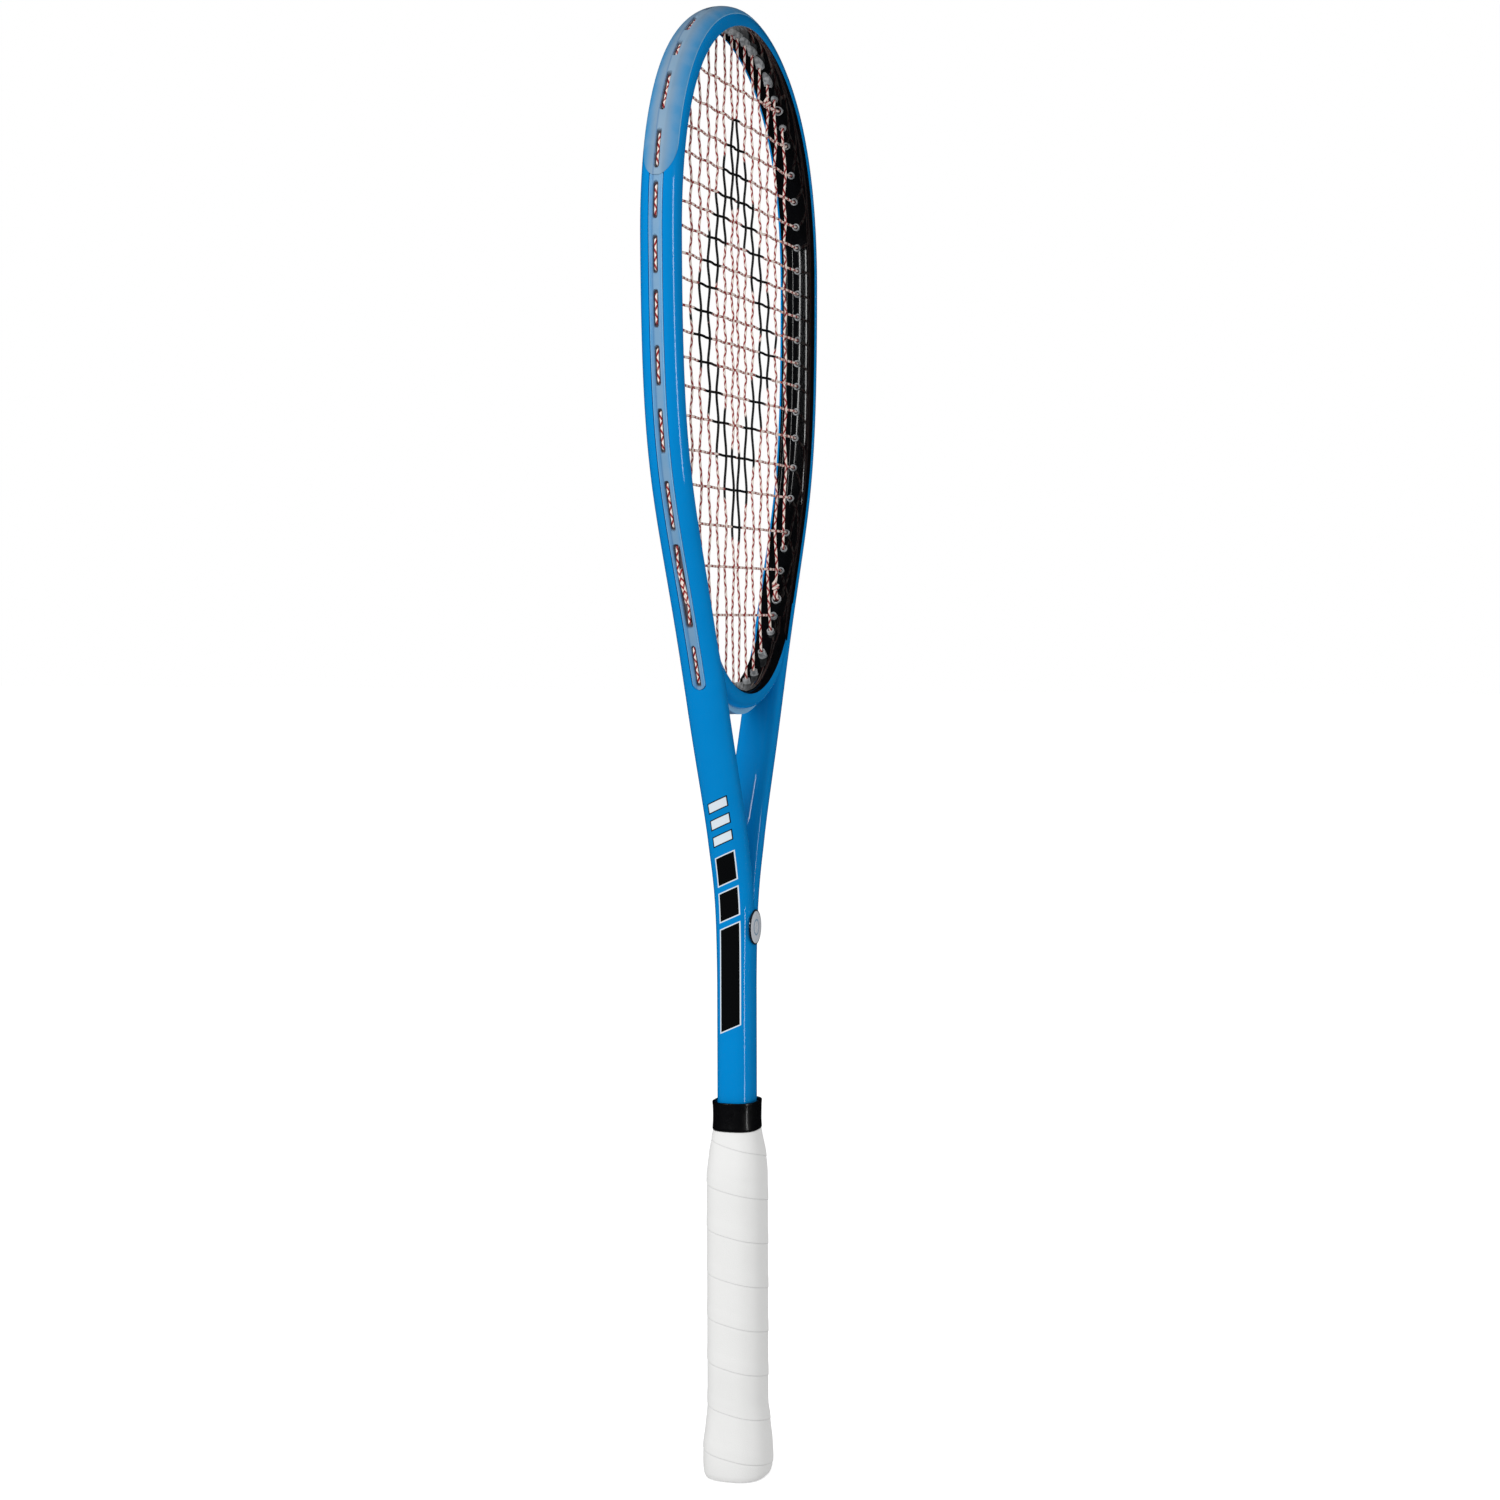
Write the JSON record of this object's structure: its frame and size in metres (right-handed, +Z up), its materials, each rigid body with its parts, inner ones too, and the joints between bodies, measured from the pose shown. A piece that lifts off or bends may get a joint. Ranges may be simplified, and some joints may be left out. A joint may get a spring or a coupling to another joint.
{
  "type": "squash racket",
  "caption": "Squash racket with an oval strung head, an open throat, a wrapped white grip and a rubber collar that slides up the shaft.",
  "frame": {"origin": "centre of the butt's flat end", "axes": "+Z up the handle and shaft to the head's tip, X across the head, the front of the string bed faces -Y"},
  "size_m": [0.2122, 0.0308, 0.6875],
  "materials": {
    "frame_paint": "blue gloss lacquer on carbon fibre composite, black on the inner face of the head",
    "bridge_paint": "blue gloss lacquer, black on the face inside the head",
    "bumper_plastic": "frosted translucent nylon",
    "strip_plastic": "frosted translucent nylon",
    "string": "cream multifilament with a red braid, satin",
    "badge": "pale domed resin",
    "pallet": "moulded foam",
    "butt_cap": "moulded black plastic",
    "staple_wire": "drawn steel wire",
    "grip_wrap": "white polyurethane grip tape, soft and slightly tacky",
    "finishing_tape": "black adhesive tape",
    "collar_rubber": "smooth black rubber"
  },
  "bodies": {
    "racket": {"frame": "frame_paint", "throat_bridge": "bridge_paint", "head_bumper": "bumper_plastic", "right_grommet_strip": "strip_plastic", "left_grommet_strip": "strip_plastic", "throat_grommet_strip": "strip_plastic", "string": "string", "shaft_badge": "badge", "handle_pallet": "pallet", "butt_cap": "butt_cap", "butt_cap_staple_front": "staple_wire", "butt_cap_staple_back": "staple_wire", "grip": "grip_wrap", "finishing_tape": "finishing_tape"},
    "collar": {"collar": "collar_rubber"}
  },
  "joints": [
    {"name": "collar_slide", "type": "slide", "parent": "racket", "child": "collar", "axis": [0, 0, 1], "range_m": [0, 0.055]}
  ]
}
